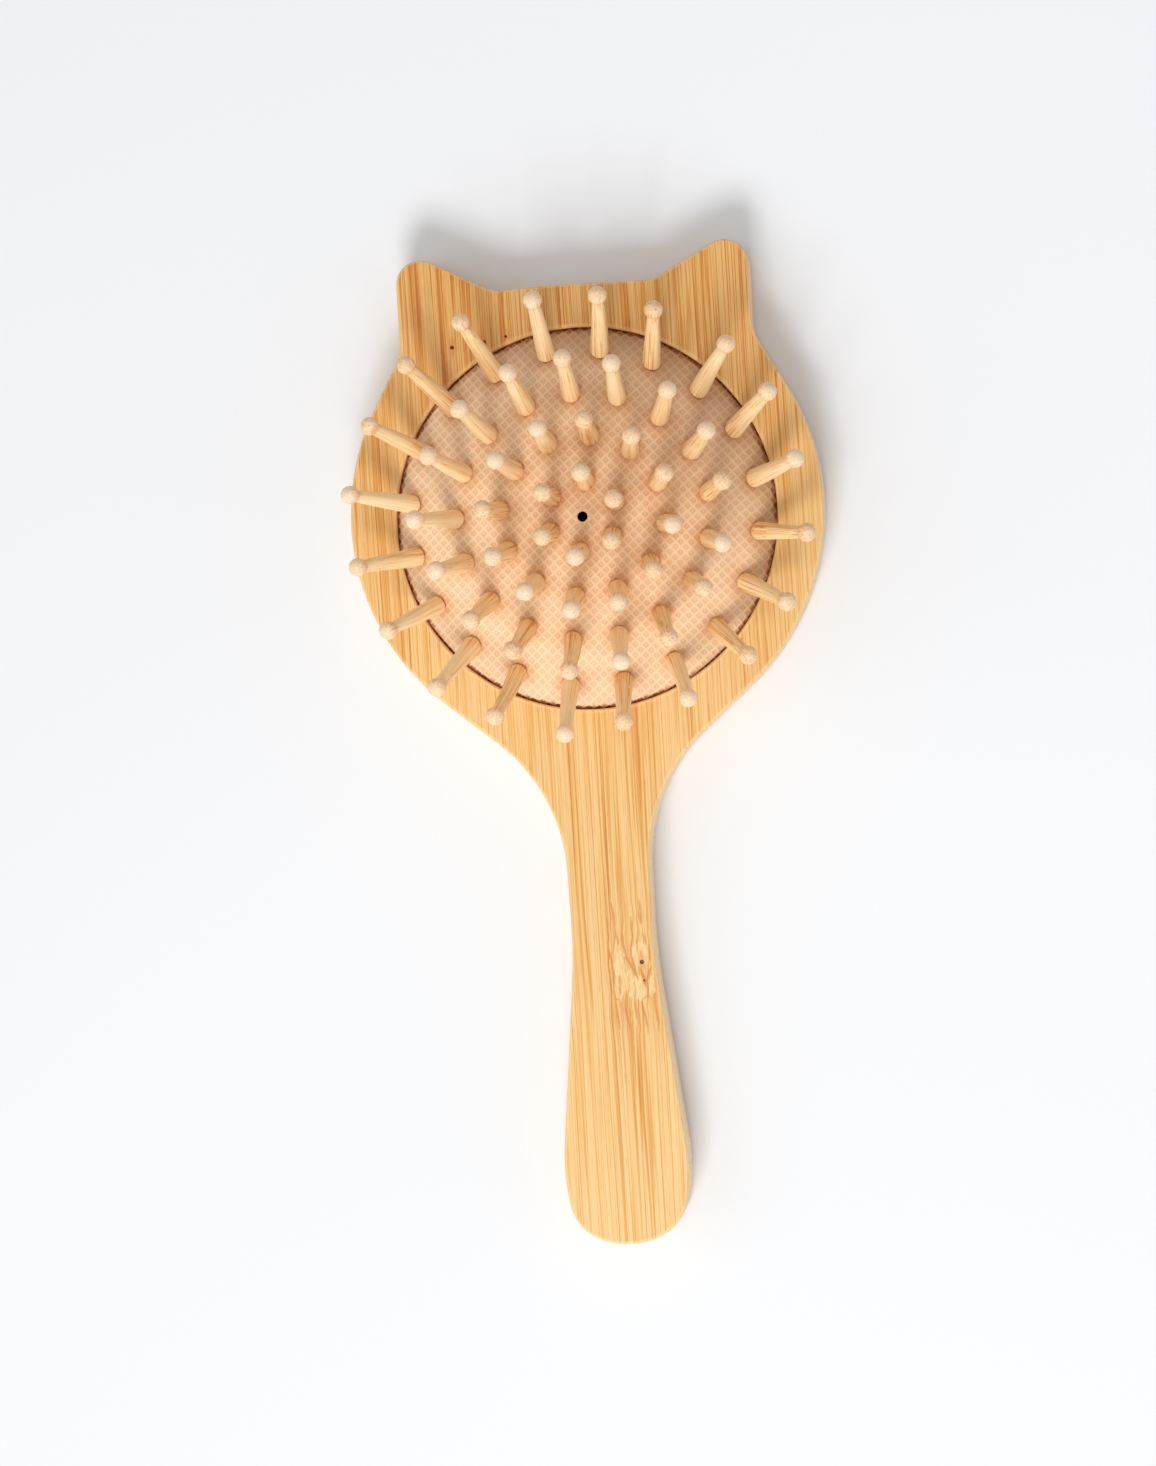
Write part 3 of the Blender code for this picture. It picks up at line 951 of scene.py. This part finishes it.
def make_pin(label, placed, number, material):
    chance = random.Random(1000 + number)
    ball = BALL_RADIUS * chance.uniform(0.965, 0.998)
    neck = PIN_NECK * chance.uniform(0.93, 1.06)
    base = PIN_BASE * chance.uniform(0.95, 1.03)
    squat = chance.uniform(0.94, 1.0)
    seed = chance.uniform(0.0, 90.0)
    bow = chance.uniform(-0.16, 0.16)
    facets = chance.uniform(0.004, 0.016)
    facet_count = chance.choice((4, 5, 6))
    tint = chance.random()
    turn = chance.uniform(0.0, math.tau)
    section = pin_section(ball, neck, base, squat)
    low, high = section[SHANK_END][1], section[SHANK_TOP][1]
    angles = [math.tau * step / PIN_SIDES for step in range(PIN_SIDES)]
    shifts = [surface_shift(placed, base * math.cos(angle), base * math.sin(angle))
              for angle in angles]

    bm = bmesh.new()
    tip_height = BALL_HEIGHT + ball * squat
    local = [(0.0, 0.0, tip_height)]
    tip = bm.verts.new((0.0, 0.0, tip_height * MM))
    levels = []
    for radius, height in section:
        share = clamp((height - low) / (high - low))
        # Near its base the pin follows the cushion's face.
        follow = (1.0 - clamp((height - low) / BASE_BLEND)) * (height > 0.0)
        shift = bow * math.sin(math.pi * share) if height < high else 0.0
        places = []
        for angle, base_shift in zip(angles, shifts):
            x = math.cos(angle)
            y = math.sin(angle)
            here = radius + PIN_ROUGH * wander(x * 1.3 + seed, y * 1.3, height * 0.55)
            if low < height < high:
                here *= 1.0 + facets * math.cos(facet_count * angle + seed)
            places.append((x * here + shift, y * here,
                           height + follow * base_shift * min(here / base, 1.0)))
        levels.append(ring(bm, places))
        local += places
    for index in range(PIN_SIDES):
        bm.faces.new((tip, levels[0][index], levels[0][(index + 1) % PIN_SIDES]))
    for upper, lower in zip(levels, levels[1:]):
        bridge(bm, lower, upper)
    bm.faces.new(levels[-1])
    bmesh.ops.recalc_face_normals(bm, faces=bm.faces)
    mesh = finished_mesh(bm, "turned_pin_" + label)
    mesh.transform(placed)
    smooth_mesh(mesh, 50.0)

    local = np.array(local)
    fibre = fibre_space(local, turn, seed, low, high, base / neck)
    store(mesh, "fibre_space", fibre)
    store(mesh, "tint", np.full(len(local), tint))
    store(mesh, "ball", clamp((local[:, 2] - BALL_TONE_START) / BALL_TONE_WAY))
    return new_piece("turned_pin_" + label, mesh, material)


# ---- cushion

def dome_height(radius):
    return DOME_RIM + DOME_RISE * (1.0 - (radius / DOME_RADIUS) ** DOME_POWER)


def dome_slope(radius):
    fall = DOME_RISE * DOME_POWER / DOME_RADIUS * (radius / DOME_RADIUS) ** (DOME_POWER - 1.0)
    return math.atan(fall)


def sheet_section():
    """Rows of (way along the sheet, radius, height, slope) from the middle to below the rim."""
    bend_radius = RIM_RADIUS
    for _ in range(6):
        bend_radius = RIM_RADIUS - RIM_BEND * (1.0 - math.sin(dome_slope(bend_radius)))
    rows = [(radius, radius, dome_height(radius), dome_slope(radius))
            for radius in np.linspace(0.0, bend_radius, DOME_ROWS)]
    start = rows[-1][3]
    height = rows[-1][2]
    for step in range(1, BEND_STEPS + 1):
        slope = start + (math.pi / 2.0 - start) * step / BEND_STEPS
        rows.append((bend_radius + RIM_BEND * (slope - start),
                     bend_radius + RIM_BEND * (math.sin(slope) - math.sin(start)),
                     height - RIM_BEND * (math.cos(start) - math.cos(slope)), slope))
    # Past the bend the sheet turns out to the wall of the recess and goes down to the groove.
    way, radius, height, slope = rows[-1]
    for next_radius, next_height, next_slope in RIM_TURNS:
        way += math.hypot(next_radius - radius, next_height - height)
        radius = next_radius
        height = next_height
        rows.append((way, radius, height, math.radians(next_slope)))
    return np.array(rows)


def woven_sheet(section):
    """Where the points of the sheet lie, with the weave's lines along its quads.

    Returns each point's way from the middle and its direction, how far it lies below the top of
    the weave, and the quads.
    """
    reach = section[-1][0] - SHEET_MARGIN
    repeats = math.ceil(reach / WEAVE_PITCH) + 1
    rows = [(repeat + line, drop) for repeat in range(-repeats, repeats + 1)
            for line, drop in WEAVE_LINES]
    lines = np.array([line * WEAVE_PITCH for line, drop in rows])
    drops = [drop for line, drop in rows]
    u, v = np.meshgrid(lines, lines, indexing="ij")
    drop = np.minimum(*np.meshgrid(drops, drops, indexing="ij"))
    # The middle of each cell rises again.
    middle = np.arange(len(lines)) % len(WEAVE_LINES) == len(WEAVE_LINES) - 1
    drop[np.ix_(middle, middle)] -= WEAVE_BOSS
    x = u * math.cos(WEAVE_TURN) - v * math.sin(WEAVE_TURN)
    y = u * math.sin(WEAVE_TURN) + v * math.cos(WEAVE_TURN)
    way = np.hypot(x, y)
    keep = way <= reach
    index = np.full(way.shape, -1)
    index[keep] = np.arange(keep.sum())
    corners = [index[:-1, :-1], index[1:, :-1], index[1:, 1:], index[:-1, 1:]]
    quads = np.stack(corners, axis=-1).reshape(-1, 4)
    quads = quads[(quads >= 0).all(axis=1)]
    used = np.unique(quads)
    renumber = np.full(keep.sum(), -1)
    renumber[used] = np.arange(len(used))
    way = way[keep][used]
    flat = np.stack([x[keep][used], y[keep][used]], axis=1) / np.maximum(way, 1e-9)[:, None]
    return way, flat, drop[keep][used], renumber[quads]


def sheet_places(section, frames, way, flat, drop):
    """Places of the sheet's points on the dome, with the weave, the vent's rim and the pins."""
    radius, height, slope = (np.interp(way, section[:, 0], row) for row in section.T[1:])
    places = np.column_stack([flat * radius[:, None], height])

    # The weave is smooth round the vent and deeper over the rim, and the vent has a low rim.
    smooth = clamp((radius - VENT_SMOOTH) / 0.5)
    over_rim = clamp((way - RIM_RADIUS + 1.2) / 1.2)
    lift = -WEAVE_DEPTH * drop * smooth * (1.0 + RIM_WEAVE * over_rim)
    lift += VENT_RISE * np.exp(-((radius - 1.35) / 0.3) ** 2)
    # The rubber is drawn in where it grips each pin.
    for _, placed in frames:
        direction = np.array(placed.col[2][:3])
        away = places - np.array(placed.translation) / MM
        along = away @ direction
        distance = np.linalg.norm(away - along[:, None] * direction, axis=1)
        lift -= DIMPLE_DEPTH * np.exp(-(distance / DIMPLE_REACH) ** 2)
    places[:, :2] += flat * (lift * np.sin(slope))[:, None]
    places[:, 2] += lift * np.cos(slope)
    return places


def close_sheet(mesh):
    """Runs the sheet's edge round the rim in the groove and back under the dome."""
    bm = bmesh.new()
    bm.from_mesh(mesh)
    cut_height = GROOVE_TOP - GAP
    bmesh.ops.bisect_plane(bm, geom=bm.verts[:] + bm.edges[:] + bm.faces[:], dist=1e-7,
                           plane_co=(0.0, 0.0, cut_height * MM), plane_no=(0.0, 0.0, -1.0),
                           clear_outer=True)
    rings = [(GROOVE_RADIUS - GAP, cut_height), (GROOVE_RADIUS - GAP, GROOVE_BOTTOM + GAP),
             (LIP_INNER, GROOVE_BOTTOM + GAP), (LIP_INNER, GROOVE_TOP + GAP)]
    for outer in INNER_FACE:
        slope = dome_slope(outer)
        rings.append((min(outer - RUBBER * math.sin(slope), LIP_INNER - 0.05),
                      dome_height(outer) - RUBBER * math.cos(slope)))
    edges = [edge for edge in bm.edges if edge.is_boundary]
    for ring_radius, ring_height in rings:
        made = bmesh.ops.extrude_edge_only(bm, edges=edges)["geom"]
        verts = [item for item in made if isinstance(item, bmesh.types.BMVert)]
        fresh = set(verts)
        edges = [item for item in made if isinstance(item, bmesh.types.BMEdge)
                 and item.verts[0] in fresh and item.verts[1] in fresh]
        for vert in verts:
            angle = math.atan2(vert.co.y, vert.co.x)
            vert.co = Vector((math.cos(angle) * ring_radius, math.sin(angle) * ring_radius,
                              ring_height)) * MM
    bmesh.ops.holes_fill(bm, edges=edges, sides=0)
    bmesh.ops.recalc_face_normals(bm, faces=bm.faces)
    bm.to_mesh(mesh)
    bm.free()


def add_peg(bm, radius, sides, placed):
    bmesh.ops.create_cone(bm, cap_ends=True, segments=sides, radius1=radius * MM,
                          radius2=radius * MM, depth=4.0 * RUBBER * MM, matrix=placed)


def pierce(cushion, frames, material):
    """Cuts a hole for each pin and the vent, and leaves the cushion with the cut mesh."""
    pegs = bmesh.new()
    for _, placed in frames:
        add_peg(pegs, HOLE_RADIUS, HOLE_SIDES, placed)
    add_peg(pegs, VENT_RADIUS, VENT_SIDES, Matrix.Translation((0.0, 0.0, dome_height(0.0) * MM)))
    cutter = add_to_scene("hole_pegs", finished_mesh(pegs, "hole_pegs"))
    holes = cushion.modifiers.new("holes", "BOOLEAN")
    holes.operation = "DIFFERENCE"
    holes.solver = "MANIFOLD"
    holes.object = cutter
    evaluated = cushion.evaluated_get(bpy.context.evaluated_depsgraph_get())
    pierced = bpy.data.meshes.new_from_object(evaluated)
    cushion.modifiers.clear()
    cushion.data = pierced
    pierced.name = cushion.name
    pierced.materials.clear()
    pierced.materials.append(material)
    bpy.data.objects.remove(cutter)
    smooth_mesh(pierced, 62.0)


def store_looks(mesh, section, frames):
    """How far each vertex stands on a ridge, for the painted shade in the weave's hollows; how
    near it is to a pin, for the painted shade and stretched rubber round the pins; and how deep it
    is in the gap round the rim, for the painted shade there"""
    places = np.zeros(len(mesh.vertices) * 3)
    mesh.vertices.foreach_get("co", places)
    places = places.reshape(-1, 3) / MM
    radius = np.hypot(places[:, 0], places[:, 1])
    bend = section[DOME_ROWS - 1:]
    past = (radius > bend[0, 1] - 0.1) & (places[:, 2] < bend[0, 2])
    way = np.where(past, np.interp(-places[:, 2], -bend[:, 2], bend[:, 0]), radius)
    stretch = way / np.maximum(radius, 1e-6)
    turn_x, turn_y = math.cos(WEAVE_TURN), math.sin(WEAVE_TURN)
    u = (places[:, 0] * turn_x + places[:, 1] * turn_y) * stretch / WEAVE_PITCH
    v = (places[:, 1] * turn_x - places[:, 0] * turn_y) * stretch / WEAVE_PITCH
    # From 0 on a line of the weave to a half in the middle of a cell
    phase = np.minimum(np.abs((u + 0.5) % 1.0 - 0.5), np.abs((v + 0.5) % 1.0 - 0.5))
    crest, foot = WEAVE_LINES[2][0], WEAVE_LINES[3][0]
    on_ridge = np.interp(phase, (crest, foot, 0.5), (1.0, 0.0, WEAVE_BOSS))
    store(mesh, "ridge", np.where(way < 1.5, 1.0, on_ridge))
    # Darker rubber round the pins: painted shade at their bases, and stretched rubber
    pin_stain_and_shade = np.zeros(len(places))
    for _, placed in frames:
        away = places - np.array(placed.translation) / MM
        pin_stain_and_shade = np.maximum(pin_stain_and_shade, np.exp(-(np.linalg.norm(away, axis=1) / PIN_STAIN_AND_SHADE_REACH) ** 3))
    store(mesh, "pin_stain_and_shade", PIN_STAIN_AND_SHADE_STRENGTH * pin_stain_and_shade)
    # Marks the gap round the rim for painted shade
    in_gap = clamp((DOME_RIM + 0.1 - places[:, 2]) / 0.5)
    store(mesh, "rim", in_gap * (radius > LIP_INNER))


def make_cushion(frames, material):
    section = sheet_section()
    way, flat, drop, quads = woven_sheet(section)
    places = sheet_places(section, frames, way, flat, drop)
    mesh = bpy.data.meshes.new("rubber_air_cushion")
    mesh.from_pydata(places * MM, [], quads.tolist())
    close_sheet(mesh)
    cushion = new_piece("rubber_air_cushion", mesh, material)
    pierce(cushion, frames, material)
    store_looks(cushion.data, section, frames)
    return cushion


# ---- studio

def make_floor():
    bm = bmesh.new()
    bmesh.ops.create_grid(bm, x_segments=8, y_segments=8, size=FLOOR_HALF)
    floor = new_piece("studio_floor", finished_mesh(bm, "studio_floor"), floor_material())
    floor.location.z = -FLOOR_DROP


def make_lights():
    world = bpy.data.worlds.new("studio")
    bpy.context.scene.world = world
    world.use_nodes = True
    background = world.node_tree.nodes["Background"]
    background.inputs["Color"].default_value = WORLD_COLOUR
    background.inputs["Strength"].default_value = WORLD_STRENGTH
    for name, place, size, power in LIGHTS:
        light = bpy.data.lights.new(name, "AREA")
        light.shape = "SQUARE"
        light.size = size
        light.energy = power
        lamp = add_to_scene(name, light)
        lamp.location = place
        aim = Vector(LIGHTS_AIM) - lamp.location
        lamp.rotation_euler = aim.to_track_quat("-Z", "Y").to_euler()


def make_camera():
    camera = bpy.data.cameras.new("camera")
    camera.sensor_width = SENSOR
    camera.lens = SENSOR * FOCAL_LENGTH / PHOTO_HEIGHT
    camera.clip_start = 0.01
    camera.clip_end = 20.0
    holder = add_to_scene("camera", camera)
    holder.location = CAMERA_PLACE
    holder.rotation_euler = [math.radians(angle) for angle in CAMERA_TURN]
    scene = bpy.context.scene
    scene.camera = holder
    scene.view_settings.view_transform = "Standard"


def main():
    board = make_board(bamboo_board_material())
    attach(board, "brush")
    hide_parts("bamboo_body")

    frames = pin_frames()
    cushion = make_cushion(frames, rubber_material())
    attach(cushion, "brush")
    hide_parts("rubber_cushion")

    pin_material = bamboo_pin_material()
    for number, (label, placed) in enumerate(frames):
        pin = make_pin(label, placed, number, pin_material)
        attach(pin, label)
        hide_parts("pin_" + label)

    make_floor()
    make_lights()
    make_camera()


main()
